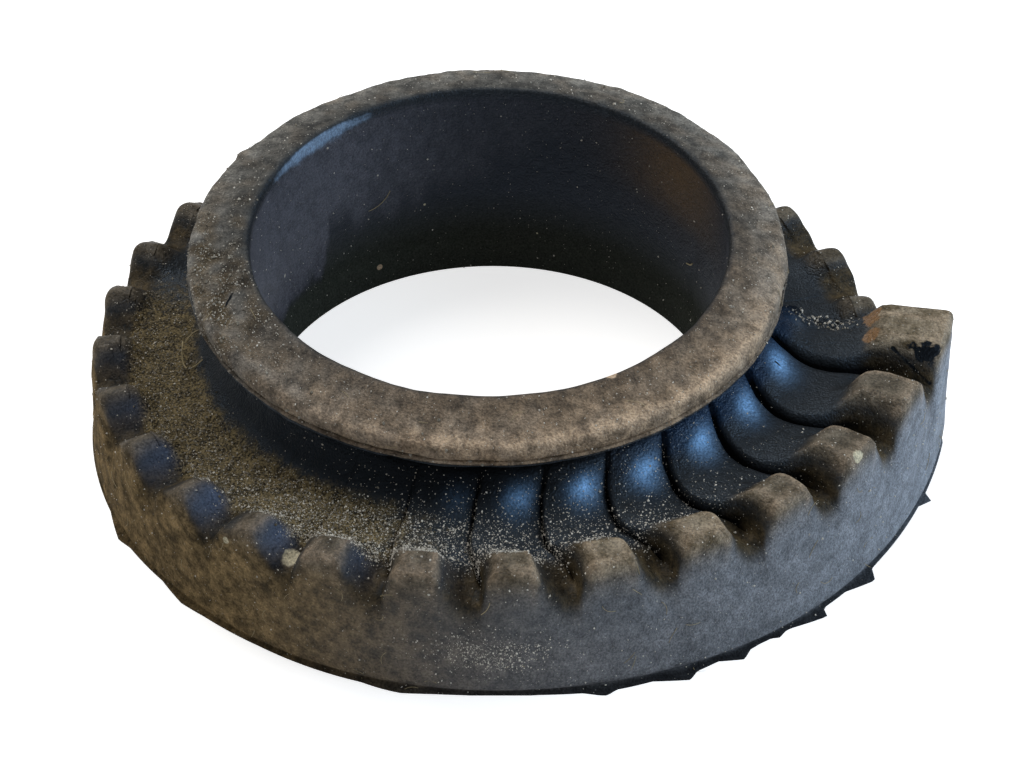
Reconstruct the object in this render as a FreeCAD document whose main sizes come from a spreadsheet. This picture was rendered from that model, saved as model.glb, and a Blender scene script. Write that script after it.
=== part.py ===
import FreeCAD, Part
import Sketcher
import math
import os

# Rubber mount for a coil spring, one moulding.
# +Z is up, the underside lies on Z = 0 and the bore stands on the Z axis.
# Lengths in millimetres, angles in degrees, azimuths counter-clockwise from +X seen from above.

doc = FreeCAD.newDocument("CoilSpringRubberMount")

sheet = doc.addObject("Spreadsheet::Sheet", "Sizes")
sizes = {
    # collar and lip
    "bore_radius": 43.3,
    "neck_wall": 5.2,
    "lip_reach": 5.5,
    "lip_level": 36.4,
    "lip_tilt": 3.5,
    "lip_edge_up": 2.0,
    "lip_edge_down": 2.3,
    "crown_up": 4.8,
    "throat_down": 4.2,
    "throat_flare": 1.6,
    "lip_round": 2.1,
    "mouth_round": 1.4,
    "lip_under_round": 1.0,
    # toothed seat
    "seat_offset": 1.1,
    "step_azimuth": -7.7,
    "end_growth": 9.2,
    "growth_arc": 80.0,
    "side_growth": 1.1,
    "side_taper": 1.0,
    "side_middle": 187.7,
    "side_arc": 120.0,
    "ridge_low": 14.1,
    "ridge_high": 30.9,
    "ramp_bend": 1.2,
    "skirt_draft": 3.0,
    "ridge_width": 6.0,
    "ridge_round": 3.2,
    "ridge_land": 3.0,
    "ridge_fall": 0.7,
    # teeth
    "tooth_pitch": 12.56,
    "first_tooth": 4.6,
    "tooth_width": 5.8,
    "tooth_back": 1.4,
    "shoulder_drop": 1.5,
    "valley_width": 4.4,
    "valley_depth_low": 3.6,
    "valley_depth_high": 8.0,
    # spring channel, its widths counted out from the collar
    "cove_gap": 2.5,
    "cove_width": 4.5,
    "cove_rise": 2.2,
    "cove_top_rise": 7.5,
    "cove_top_run": 1.2,
    "lip_gap": 1.0,
    "channel_depth": 4.0,
    "channel_inner_width": 6.0,
    "channel_outer_width": 5.7,
    "foot_run": 2.8,
    "foot_rise": 0.6,
    "slit_depth": 1.6,
    "slit_width": 0.9,
    "slit_bow": 3.4,
    "finger_step": 0.6,
    "finger_crown": 0.35,
}
row = 1
for name, value in sizes.items():
    sheet.set("A%d" % row, name)
    sheet.set("B%d" % row, str(value))
    sheet.setAlias("B%d" % row, name)
    row += 1
doc.recompute()


def size(name):
    return float(sheet.get(name))


def bind(thing, prop, formula):
    thing.setExpression(prop, formula)


# closed profile of straight lines, each corner placed from the sketch origin by the sheet
def drawProfile(sketch, corners):
    count = len(corners)
    spots = [FreeCAD.Vector(x, y, 0) for x, y, across, up in corners]
    for i in range(count):
        sketch.addGeometry(Part.LineSegment(spots[i], spots[(i + 1) % count]), False)
    for i in range(count):
        sketch.addConstraint(Sketcher.Constraint("Coincident", i, 2, (i + 1) % count, 1))
    for i, (x, y, across, up) in enumerate(corners):
        for kind, value, formula in (("DistanceX", x, across), ("DistanceY", y, up)):
            if abs(value) < 1e-9 and formula is None:
                line = -2 if kind == "DistanceX" else -1
                sketch.addConstraint(Sketcher.Constraint("PointOnObject", i, 1, line))
                continue
            number = sketch.addConstraint(Sketcher.Constraint(kind, -1, 1, i, 1, value))
            if formula:
                sketch.setExpression("Constraints[%d]" % number, formula)


# radii of the section: each is the one before it and a width more, from the bore outward
widths = [
    "bore_radius",
    "neck_wall",
    "cove_gap",
    "cove_width",
    "channel_inner_width",
    "channel_outer_width",
    "foot_run",
    "ridge_width",
]


def radiusAfter(name):
    return sum(size(width) for width in widths[:widths.index(name) + 1])


neckRadius = radiusAfter("neck_wall")
lipRadius = neckRadius + size("lip_reach")
coveTopRadius = radiusAfter("cove_gap")
coveRadius = radiusAfter("cove_width")
channelRadius = radiusAfter("channel_inner_width")
ridgeInnerRadius = radiusAfter("foot_run")
baseCircle = radiusAfter("ridge_width")
# hidden inside the collar, where the bore is cut afterwards
lipCore = 3.0
lipDepth = 10.0
lipRootInset = 2.0
seatCore = size("bore_radius") - 4.0
seatCoreDrop = 8.2
boreOverrun = 1.0
# how close an edge lies to the size by which it is found
near = 0.02
neckFormula = "Sizes.bore_radius + Sizes.neck_wall"
lipFormula = neckFormula + " + Sizes.lip_reach"


# lip: a crowned ring, turned about its own axis and set at its level with a small tilt
def makeLip():
    body = doc.addObject("PartDesign::Body", "Lip")
    plane = [f for f in body.Origin.OriginFeatures if f.Role == "XZ_Plane"][0]
    sketch = body.newObject("Sketcher::SketchObject", "LipProfile")
    sketch.AttachmentSupport = (plane, [""])
    sketch.MapMode = "FlatFace"
    core = size("bore_radius") - lipCore
    fall = (size("crown_up") - size("lip_edge_up")) / (lipRadius - size("bore_radius"))
    fallFormula = "(Sizes.crown_up - Sizes.lip_edge_up) / (Sizes.neck_wall + Sizes.lip_reach)"
    crownFormula = "Sizes.crown_up + %s * %s" % (lipCore, fallFormula)
    coreFormula = "Sizes.bore_radius - %s" % lipCore
    throat = neckRadius + size("throat_flare")
    drawProfile(sketch, [
        (core, size("crown_up") + lipCore * fall, coreFormula, crownFormula),
        (core, -lipDepth, coreFormula, None),
        (neckRadius - lipRootInset, -lipDepth, "%s - %s" % (neckFormula, lipRootInset), None),
        (throat, -size("throat_down"), neckFormula + " + Sizes.throat_flare", "-Sizes.throat_down"),
        (lipRadius, -size("lip_edge_down"), lipFormula, "-Sizes.lip_edge_down"),
        (lipRadius, size("lip_edge_up"), lipFormula, "Sizes.lip_edge_up"),
    ])
    turn = body.newObject("PartDesign::Revolution", "LipRing")
    turn.Profile = sketch
    turn.ReferenceAxis = (sketch, ["V_Axis"])
    turn.Angle = 360.0
    doc.recompute()

    def ringAt(shape, radius, level):
        for i, edge in enumerate(shape.Edges):
            box = edge.BoundBox
            if abs(box.XMax - radius) < near and abs(box.ZMax - level) < near and box.ZLength < near:
                return "Edge%d" % (i + 1)
        raise ValueError("no edge at %s, %s" % (radius, level))

    last = turn
    for name, level, rounding in (
            ("RimRound", size("lip_edge_up"), "lip_round"),
            ("UnderRound", -size("lip_edge_down"), "lip_under_round")):
        fillet = body.newObject("PartDesign::Fillet", name)
        fillet.Base = (last, [ringAt(last.Shape, lipRadius, level)])
        bind(fillet, "Radius", "Sizes." + rounding)
        doc.recompute()
        last = fillet
    body.Placement.Rotation = FreeCAD.Rotation(FreeCAD.Vector(1, 0, 0), size("lip_tilt"))
    bind(body, "Placement.Rotation.Angle", "Sizes.lip_tilt * 1deg")
    bind(body, "Placement.Base.z", "Sizes.lip_level * 1mm")
    return body


# how far in from the square corner the middle of a quarter circle lies, as a share of its radius
arcShare = 1.0 - math.sqrt(0.5)


# share of the way round from the low side of the step to the high side
def shareOf(turned):
    return turned / 360.0


# a ramp that starts gently and steepens towards the step
def ridgeHeight(turned):
    climb = size("ridge_high") - size("ridge_low")
    return size("ridge_low") + climb * shareOf(turned) ** size("ramp_bend")


# how far a place lies on the side away from the step, from 0 to 1
def sideShare(turned):
    u = min(1.0, 2.0 * abs(turned - size("side_middle")) / size("side_arc"))
    return 0.5 + 0.5 * math.cos(math.pi * u)


# the foot of the wall: a circle that grows towards the step and bulges on the side away from it
def baseRadius(turned):
    arc = size("growth_arc")
    u = max(0.0, (turned - (360.0 - arc)) / arc)
    return baseCircle + size("end_growth") * u * u + size("side_growth") * sideShare(turned)


def lipUnderside(turned, radius):
    azimuth = math.radians(turned + size("step_azimuth"))
    slope = math.tan(math.radians(size("lip_tilt")))
    return size("lip_level") - size("throat_down") + slope * radius * math.sin(azimuth)


# how much of a finger's sideways tilt is left at the wall's corner and at the end of its flat top
cornerTilt = 0.4
landTilt = 0.5
# how far the valley's floor has come down to its lowest at the end of the flat top
valleyFall = 0.25
# how much of a slit's depth is left where the cove ends, and how far it runs back into the collar
topSink = 0.5
topCut = 0.6


# Corners of the radial section, from the outer foot up over the wall, down the channel and up the cove.
# side runs from 1 at the crest of a tooth, its counter-clockwise edge, to -1 at its rounded shoulder,
# and is None in the valley beside it.
def sectionCorners(turned, side):
    top = ridgeHeight(turned)
    foot = baseRadius(turned)
    lean = math.tan(math.radians(size("skirt_draft")))
    depth = size("valley_depth_low")
    depth += (size("valley_depth_high") - size("valley_depth_low")) * shareOf(turned)
    floor = top - size("channel_depth")
    rounding = size("ridge_round")
    if side is None:
        wall = top - depth
        tilt = 0.0
        crown = 0.0
        sink = size("slit_depth")
        landHeight = floor - sink - size("foot_rise") - valleyFall * (floor - wall)
    else:
        wall = top - (size("shoulder_drop") if side == -1 else 0.0)
        tilt = -side * size("finger_step")
        crown = size("finger_crown") * (1.0 - side * side)
        sink = 0.0
        landHeight = wall - size("ridge_fall")
    taper = size("side_taper") * sideShare(turned)
    corner = foot - taper - lean * (wall - rounding)
    landEnd = min(ridgeInnerRadius, foot - taper - lean * top - rounding - size("ridge_land"))
    footEnd = landEnd - size("foot_run")
    coveTop = min(floor + size("cove_top_rise"), lipUnderside(turned, coveTopRadius) - size("lip_gap"))
    coveLow = min(floor + size("cove_rise"), coveTop - size("lip_gap"))
    return [
        (foot, 0.0),
        (corner, wall - rounding),
        (corner - arcShare * rounding, wall - arcShare * rounding),
        (corner - rounding, wall + crown + cornerTilt * tilt),
        (landEnd, landHeight + crown + landTilt * tilt),
        (footEnd, floor + size("foot_rise") - sink + crown + tilt),
        (channelRadius, floor - sink + crown + tilt),
        (coveRadius, coveLow - sink + crown + tilt),
        (coveTopRadius - topCut * sink, coveTop - topSink * sink + crown),
        (coveTopRadius - size("cove_gap") - size("cove_top_run"), coveTop + size("cove_top_run")),
        (seatCore, size("lip_level") - seatCoreDrop),
    ]


# How far each corner of a section is turned from the middle of its tooth or valley: a tooth widens
# towards its foot and inwards to a whole finger, and a valley narrows to the slit between two fingers.
def spread(side, count):
    tooth = 0.5 * size("tooth_width")
    valley = 0.5 * size("valley_width")
    slit = 0.5 * size("slit_width")
    finger = 0.5 * size("tooth_pitch") - slit
    if side is None:
        reach = [valley, valley, valley, valley, 0.6 * valley, 0.5 * slit]
        inner = 0.3 * slit
    else:
        reach = [1.15 * tooth, 1.08 * tooth, 1.03 * tooth, tooth, tooth, 0.5 * (tooth + finger)]
        inner = finger
    return reach + [inner] * (count - len(reach))


# bow of the slits: none at the wall and at the collar, most over the middle of the channel
def bowOf(index):
    shares = [0.0, 0.0, 0.0, 0.0, 0.0, -0.65, -1.0, -0.95, -0.65, -0.5, 0.0]
    return shares[index] * size("slit_bow")


def spot(turned, radius, height):
    azimuth = math.radians(turned + size("step_azimuth"))
    x = size("seat_offset") + radius * math.cos(azimuth)
    return FreeCAD.Vector(x, radius * math.sin(azimuth), height)


# Stations of the seat, clockwise from the high side of the step: the angle of the middle, the side of
# the tooth or None in the valley, and the edge that the station lies towards.
def stations():
    pitch = size("tooth_pitch")
    back = -1.0 + 2.0 * size("tooth_back") / size("tooth_width")
    found = []
    middle = 360.0 - size("first_tooth")
    while middle > -pitch:
        for side in (1.0, 0.3, back, -1.0):
            found.append((middle, side, side))
        for edge in (1, -1):
            found.append((middle - 0.5 * pitch, None, edge))
        middle -= pitch
    return found


# The seat is closed by ruled strips between neighbouring stations.
def makeSeat():
    rows = []
    last = len(sectionCorners(0.0, 0)) - 1
    easeArc = 14.0
    endGap = 0.8
    for middle, side, edge in stations():
        turns = []
        for j, reach in enumerate(spread(side, last + 1)):
            turn = middle + edge * reach
            ease = max(0.0, min(1.0, turn / easeArc, (360.0 - turn) / easeArc))
            turns.append(turn + bowOf(j) * ease)
        if min(turns) < endGap or max(turns) > 360.0 - endGap:
            continue
        points = []
        for j, turn in enumerate(turns):
            radius, height = sectionCorners(turn, side)[j]
            points.append(spot(turn, radius, height))
        rows.append(points)
    high = [spot(360.0, radius, height) for radius, height in sectionCorners(360.0, 0)]
    low = [spot(0.0, radius, height) for radius, height in sectionCorners(0.0, 0)]
    rings = [high] + rows + [low]
    faces = []
    for a, b in zip(rings[:-1], rings[1:]):
        for j in range(last):
            faces.append(patch(a[j], a[j + 1], b[j + 1], b[j]))
    hub = []
    for ring in rings:
        hub.append(FreeCAD.Vector(ring[last].x, ring[last].y, 0.0))
    for i in range(len(rings) - 1):
        faces.append(patch(rings[i][last], hub[i], hub[i + 1], rings[i + 1][last]))
    outer = Part.makePolygon([ring[0] for ring in rings] + [rings[0][0]])
    inner = Part.makePolygon(hub[:-1] + [hub[0]])
    faces.append(Part.makeFace([outer, inner], "Part::FaceMakerBullseye"))
    step = Part.makePolygon(high + low[::-1][1:] + [high[0]])
    faces.append(Part.Face(step))
    shell = Part.makeShell(faces)
    shell.sewShape()
    solid = Part.makeSolid(shell)
    if solid.Volume < 0:
        solid.reverse()
    seat = doc.addObject("Part::Feature", "Seat")
    seat.Shape = solid
    return seat


# four-cornered face: flat where its corners allow it, else ruled
def patch(p, q, r, s):
    flatWithin = 1e-6
    normal = (q - p).cross(s - p)
    if normal.Length > flatWithin and abs((r - p).dot(normal) / normal.Length) < flatWithin:
        return Part.Face(Part.makePolygon([p, q, r, s, p]))
    return Part.makeRuledSurface(Part.makeLine(p, q), Part.makeLine(s, r))


def makeNeck():
    neck = doc.addObject("Part::Cylinder", "Neck")
    bind(neck, "Radius", neckFormula)
    bind(neck, "Height", "Sizes.lip_level - Sizes.lip_gap")
    return neck


def makeBore():
    bore = doc.addObject("Part::Cylinder", "Bore")
    bind(bore, "Radius", "Sizes.bore_radius")
    bind(bore, "Height", "2 * Sizes.lip_level")
    bore.Placement.Base.z = -boreOverrun
    return bore


# the mouth edge: the closed line where the crown of the lip meets the bore
def mouthEdge(shape):
    lowest = size("lip_level") - size("throat_down")
    for i, edge in enumerate(shape.Edges):
        box = edge.BoundBox
        if abs(box.XMax - size("bore_radius")) < near and box.ZMin > lowest:
            return i + 1
    raise ValueError("no mouth edge")


lip = makeLip()
neck = makeNeck()
seat = makeSeat()
blank = doc.addObject("Part::MultiFuse", "Blank")
blank.Shapes = [neck, lip, seat]
bored = doc.addObject("Part::Cut", "Bored")
bored.Base = blank
bored.Tool = makeBore()
doc.recompute()
mount = doc.addObject("Part::Fillet", "Mount")
mount.Base = bored
mount.Edges = [(mouthEdge(bored.Shape), size("mouth_round"), size("mouth_round"))]
mount.Label = "rubber_mount"
doc.recompute()

for thing in doc.Objects:
    if "Invalid" in thing.State or "Error" in thing.State:
        raise RuntimeError("%s did not build" % thing.Name)
os.makedirs("parts", exist_ok=True)
for thing in [mount]:
    shape = thing.Shape
    if shape.isNull() or not shape.isValid() or len(shape.Solids) != 1:
        raise RuntimeError("%s has no sound shape" % thing.Label)
    print(thing.Label, "volume", round(shape.Volume), "faces", len(shape.Faces), shape.BoundBox)
    shape.exportStep("parts/%s.step" % thing.Label)
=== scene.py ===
import math

import bmesh
import bpy
import numpy as np
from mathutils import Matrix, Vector


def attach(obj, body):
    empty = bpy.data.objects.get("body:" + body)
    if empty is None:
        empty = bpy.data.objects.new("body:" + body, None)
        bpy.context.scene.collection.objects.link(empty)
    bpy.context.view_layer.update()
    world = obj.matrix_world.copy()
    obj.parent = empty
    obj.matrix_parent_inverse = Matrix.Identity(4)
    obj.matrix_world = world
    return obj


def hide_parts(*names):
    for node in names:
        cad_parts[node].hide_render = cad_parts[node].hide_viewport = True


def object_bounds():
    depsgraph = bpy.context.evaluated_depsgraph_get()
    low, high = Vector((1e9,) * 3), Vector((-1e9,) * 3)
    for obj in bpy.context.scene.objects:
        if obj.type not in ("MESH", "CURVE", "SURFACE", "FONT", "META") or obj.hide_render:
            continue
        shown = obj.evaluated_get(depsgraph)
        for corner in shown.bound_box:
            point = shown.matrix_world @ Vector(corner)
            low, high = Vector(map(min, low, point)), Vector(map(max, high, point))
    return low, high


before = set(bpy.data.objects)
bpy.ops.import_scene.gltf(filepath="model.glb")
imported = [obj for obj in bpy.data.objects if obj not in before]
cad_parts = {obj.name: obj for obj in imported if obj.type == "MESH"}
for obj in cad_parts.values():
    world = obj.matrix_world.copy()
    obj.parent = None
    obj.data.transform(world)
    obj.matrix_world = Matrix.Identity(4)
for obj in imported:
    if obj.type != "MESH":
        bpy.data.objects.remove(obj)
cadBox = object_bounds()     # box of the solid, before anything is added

# Rubber mount for a coil spring. Lengths are millimetres until a mesh is made, angles are degrees.
# turned runs counter-clockwise from the low side of the step (0) to its high side (360).
mm = 0.001


def smooth(value, low, high):
    # smooth step: 0 at low, 1 at high, 3t^2 - 2t^3 between
    t = np.clip((value - low) / (high - low), 0.0, 1.0)
    return t * t * (3.0 - 2.0 * t)


def fade(value, full, gone):
    # smooth step downwards: 1 up to full, 0 from gone on
    return smooth(-value, -gone, -full)


def between(value, rise, full, ebb, gone):
    # 1 from full to ebb, with a smooth step up from rise and one down to gone
    return smooth(value, rise, full) * fade(value, ebb, gone)


def mix(first, second, share):
    # straight line from the first value at share 0 to the second at share 1
    return first + (second - first) * share


def bump(value, middle, width):
    # bell: exp of minus the squared distance from the middle over the width
    return np.exp(-((value - middle) / width) ** 2)


def around(angle, middle, width):
    # bell on the circle, for azimuths in degrees: exp of minus the squared way round over the width
    away = (angle - middle + 180.0) % 360.0 - 180.0
    return np.exp(-(away / width) ** 2)


def ripple(points, wave, seed, count=28):
    # even random unevenness: a sum of sine waves of about one length, in random directions
    draw = np.random.default_rng(seed)
    ways = draw.normal(size=(count, 3))
    pace = (2.0 * math.pi / wave) * draw.uniform(0.6, 1.5, (count, 1))
    ways *= pace / np.linalg.norm(ways, axis=1)[:, None]
    starts = draw.uniform(0.0, 2.0 * math.pi, count)
    return np.sin(points @ ways.T + starts).sum(axis=-1) / math.sqrt(count / 2.0)


def azimuthOf(points):
    # the angle of each point about the bore's axis: arctangent of y over x, in degrees
    return np.degrees(np.arctan2(points[..., 1], points[..., 0]))


def insideBox(points):
    # points held inside the box of the solid
    low, high = (np.array(corner) / mm for corner in cadBox)
    return np.clip(points, low, high)


def closedQuads(rows, columns):
    # the cells of a grid whose rows close on themselves, four corner numbers each
    j, i = np.meshgrid(np.arange(rows - 1), np.arange(columns), indexing="ij")
    near = (i + 1) % columns
    low, high = j * columns, (j + 1) * columns
    return np.stack([low + i, low + near, high + near, high + i], -1).reshape(-1, 4)


# the moulding, with the sizes of the construction

mould = {
    # collar: radii, level and tilt of the lip
    "boreRadius": 43.3, "neckRadius": 48.5, "lipRadius": 54.0, "lipLevel": 36.4, "lipTilt": 3.5,
    # outer wall: its middle beside the bore's, where the step stands, its foot and how the foot grows
    "seatOffset": 1.1, "stepAzimuth": -7.7, "baseRadius": 76.0, "endGrowth": 9.2, "growthArc": 80.0,
    "sideGrowth": 1.1, "sideTaper": 1.0, "sideMiddle": 187.7, "sideArc": 120.0,
    # teeth: heights at both ends of the climb, its bend, slope of the skirt, pitch and valleys
    "ridgeLow": 14.1, "ridgeHigh": 30.9, "rampBend": 1.2, "draft": 3.0, "ridgeInner": 70.0,
    "ridgeRound": 3.2, "land": 3.0, "pitch": 12.56, "firstCrevice": 363.9,
    "valleyLow": 3.6, "valleyHigh": 8.0, "crestPlace": 0.45, "shoulderPlace": 0.78,
    # channel and cove: depth under the teeth, radius of the cove's top and how far both rise
    "channelDepth": 4.0, "coveRise": 2.2, "coveTop": 51.0, "coveTopRise": 7.5, "throatDown": 4.2,
    "lipGap": 1.0,
    # slits between the fingers, as shares of the pitch, and how far the fingers stand out
    "slitDepth": 2.2, "slitThin": 0.011, "slitWide": 0.028, "fingerTilt": 0.75, "fingerCrown": 0.7,
    # how far the rim stands out on the left and the foot on the right front, and columns of the grid
    "rimOut": 0.9, "flareOut": 1.1, "columns": 865, "stepColumns": 14,
}
# layers of unevenness: length of the waves, height and seed
unevenness = {
    "swell": (14.0, 0.10, 3), "dents": (4.5, 0.05, 4), "crumbs": (3.2, 1.0, 21), "dust": (1.6, 0.10, 22),
    "flakes": (2.6, 1.0, 23), "tornCoarse": (2.4, 0.60, 5), "tornFine": (1.1, 0.30, 6),
    "tone": (6.0, 0.7, 12),
}
# the thin torn flash under the skirt: azimuth and reach beyond the foot
flashEdge = np.array([
    (-180, 0.3), (-156, 0.1), (-150.3, 1.4), (-148, 0.5), (-140, 0.1), (-135, 1.0), (-131, 0.5),
    (-122, 0.2), (-107, 0.4), (-101.6, 1.9), (-97, 1.2), (-79, 1.6), (-76.3, 3.3), (-74.7, 1.6),
    (-70, 1.2), (-65.6, 3.0), (-64.1, 1.6), (-61, 1.1), (-58, 2.7), (-56.4, 1.3), (-53.5, 0.8),
    (-52.1, 1.7), (-50.5, 0.9), (-45.1, 2.9), (-44.2, 0.7), (-41, 0.6), (-36.2, 3.1), (-34.6, 1.0),
    (-27, 0.3), (-21.4, 0.3), (-19.5, 2.1), (-18.4, 0.2), (-8, 0.0), (40, 0.2), (46, 1.1), (48, 0.1),
    (92, 0.2), (97, 1.2), (99, 0.1), (141, 0.9), (143, 0.1), (180, 0.3),
])
# the pale haze in the bore: azimuth and its lowest height, then azimuth and its strength
hazeEdge = np.array([
    (0, 34), (60, 34), (82, 30), (96, 22), (109, 19), (124, 18.6), (137, 20), (141, 9), (158, 8), (220, 8),
    (360, 34),
])
hazeShare = np.array([(0, 0.1), (50, 0.15), (96, 0.3), (122, 0.75), (135, 1), (175, 0.9), (230, 0.3)])


def columnPhases():
    # Columns as phases, in tooth pitches clockwise from the crevice above the step; they crowd at the
    # crevices, the crests and the steep flanks: even steps of the summed crowding.
    first = (mould["firstCrevice"] - 360.0) / mould["pitch"]
    last = mould["firstCrevice"] / mould["pitch"]
    fine = np.linspace(first, last, 20000)
    place = fine % 1.0
    crowd = (1.0 + 5.0 * bump(place, 0.0, 0.022) + 5.0 * bump(place, 1.0, 0.022)
             + 0.9 * bump(place, 0.44, 0.06))
    total = np.cumsum(crowd + 0.7 * bump(place, 0.88, 0.08))
    return np.interp(np.linspace(total[0], total[-1], mould["columns"]), total, fine)


phase = columnPhases()
place = phase % 1.0                 # 0 and 1 in the crevices, the crest of the tooth at crestPlace
plainTurn = mould["firstCrevice"] - mould["pitch"] * phase
crisp = smooth(plainTurn, 215.0, 268.0)       # crests are worn to knuckles on the low left half
slitted = smooth(plainTurn, 250.0, 283.0)     # and dust fills the slits there
bowed = smooth(plainTurn, 245.0, 320.0)       # the slits bend more the higher they lie
endEase = between(plainTurn, 0.0, 7.0, 354.0, 360.0)      # fingers and slits die out at the step
stepBlock = phase < 0.62            # the end block is a tooth cut off by the step


def ridgeProfile():
    # Height share of a tooth across its pitch: a floor, a flank that steepens to the crest (t^2.4, or a
    # smooth step where worn), a flat top and a quarter circle down to the next crevice.
    climb = np.clip((place - 0.06) / (mould["crestPlace"] - 0.06), 0.0, 1.0)
    flank = mix(smooth(place, 0.04, mould["crestPlace"] + 0.05), climb ** 2.4, crisp)
    width = 1.0 - mould["shoulderPlace"]
    fall = np.sqrt(np.clip(1.0 - (np.clip(place - mould["shoulderPlace"], 0.0, 1.0) / width) ** 2, 0.0, 1.0))
    fall = mix(fade(place, 0.5, 1.0), fall, crisp)
    return np.where(stepBlock, 1.0, np.where(place < mould["crestPlace"] + 0.05, flank, fall))


ridgeShare = ridgeProfile()
# the same teeth, worn round where they meet the skirt
softFall = fade(place, 0.83, 1.06)
softShare = np.where(stepBlock, 1.0, smooth(place, 0.12, 0.48) * softFall + fade(place, -0.17, 0.06))
outerShare = mix(ridgeShare, softShare, 0.85)
slitHalf = mix(mould["slitThin"], mould["slitWide"], smooth(plainTurn, 285.0, 345.0))
slitShare = np.exp(-((place - np.round(place)) / slitHalf) ** 2) * endEase * slitted
# fingers overlap like shingles: the clockwise edge of each stands over the next one
fingerShare = mix(0.1, 1.0, smooth(plainTurn, 235.0, 310.0))
fingerLift = (mould["fingerCrown"] * (1.0 - (2.0 * place - 1.0) ** 2)
              + mould["fingerTilt"] * (2.0 * place - 1.0)) * endEase * fingerShare


def levelsAt(turned):
    # Heights and radii that climb with the turn: the teeth's top by the turn's share to the power rampBend,
    # the foot by the square of the share of the last growthArc degrees and a cosine hump on one side;
    # walls, floor and cove hang under the top, and the throat under the tilted lip.
    m = mould
    share = np.clip(turned / 360.0, 0.0, 1.0)
    away = np.clip(2.0 * np.abs(turned - m["sideMiddle"]) / m["sideArc"], 0.0, 1.0)
    side = 0.5 + 0.5 * np.cos(math.pi * away)
    growth = np.clip((turned - 360.0 + m["growthArc"]) / m["growthArc"], 0.0, 1.0) ** 2
    azimuth = np.radians(turned + m["stepAzimuth"])
    at = {"azimuth": azimuth, "lean": math.tan(math.radians(m["draft"]))}
    at["top"] = m["ridgeLow"] + (m["ridgeHigh"] - m["ridgeLow"]) * share ** m["rampBend"]
    at["foot"] = m["baseRadius"] + m["endGrowth"] * growth + m["sideGrowth"] * side
    at["taper"] = m["sideTaper"] * side
    at["wall"] = at["top"] - mix(m["valleyLow"], m["valleyHigh"], share)
    at["floor"] = at["top"] - m["channelDepth"]
    slope = math.tan(math.radians(m["lipTilt"]))
    at["under"] = m["lipLevel"] - m["throatDown"] + slope * m["coveTop"] * np.sin(azimuth)
    at["coveTop"] = np.minimum(at["floor"] + m["coveTopRise"], at["under"] - m["lipGap"])
    at["coveLow"] = np.minimum(at["floor"] + m["coveRise"], at["coveTop"] - m["lipGap"])
    at["corner"] = at["foot"] - at["taper"] - at["lean"] * at["top"]
    at["landEnd"] = np.minimum(m["ridgeInner"], at["corner"] - m["ridgeRound"] - m["land"])
    return at


def seatRing(bow, zone, shape):
    # one ring of the seat: radius and height come from shape, by the levels at each column, on a circle
    # beside the bore's; bow turns the ring, so that the slits curve
    turned = plainTurn + bow * bowed * fade(plainTurn, 345.0, 360.0)
    at = levelsAt(turned)
    radius, height = shape(at)
    x = mould["seatOffset"] + radius * np.cos(at["azimuth"])
    y = radius * np.sin(at["azimuth"])
    return np.stack([x, y, height + 0.0 * x, turned, np.full_like(x, zone)], axis=-1)


def collarRing(radius, up, zone):
    # circle about the lip's own axis, up above its level, turned with the lip by its tilt about X;
    # radius and up go through cosine and sine of the tilt
    azimuth = np.radians(plainTurn + mould["stepAzimuth"])
    degrees = np.degrees(azimuth)
    if zone > 1.7:      # the rim stands out a little on the left
        radius = radius + mould["rimOut"] * around(degrees, 183.0, 40.0)
    if zone > 2.0:      # and carries a nub behind
        radius = radius + around(degrees, 150.6, 1.6)
    tilt = math.radians(mould["lipTilt"])
    x = radius * np.cos(azimuth)
    y = radius * np.sin(azimuth)
    height = y * math.sin(tilt) + up * math.cos(tilt) + mould["lipLevel"]
    y = y * math.cos(tilt) - up * math.sin(tilt)
    return np.stack([x, y, height, plainTurn, np.full_like(x, zone)], axis=-1)


def boreRing(radius, height, zone):
    # circle about the bore's axis that takes up the lip's tilt above the middle of the bore, with a shallow
    # panel on the left and two seams
    azimuth = np.radians(plainTurn + mould["stepAzimuth"])
    degrees = np.degrees(azimuth)
    upright = between(height, 5.0, 9.0, 22.0, 30.0)
    radius = radius + upright * (0.45 * between(degrees, 139.0, 143.0, 154.0, 158.0)
                                 + 0.35 * around(degrees, 25.0, 2.0) + 0.15 * around(degrees, 82.0, 1.0))
    x = radius * np.cos(azimuth)
    y = radius * np.sin(azimuth)
    tilted = smooth(height, 10.0, 32.0)
    height = height + y * math.tan(math.radians(mould["lipTilt"])) * tilted
    return np.stack([x, y, height, plainTurn, np.full_like(x, zone)], axis=-1)


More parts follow.
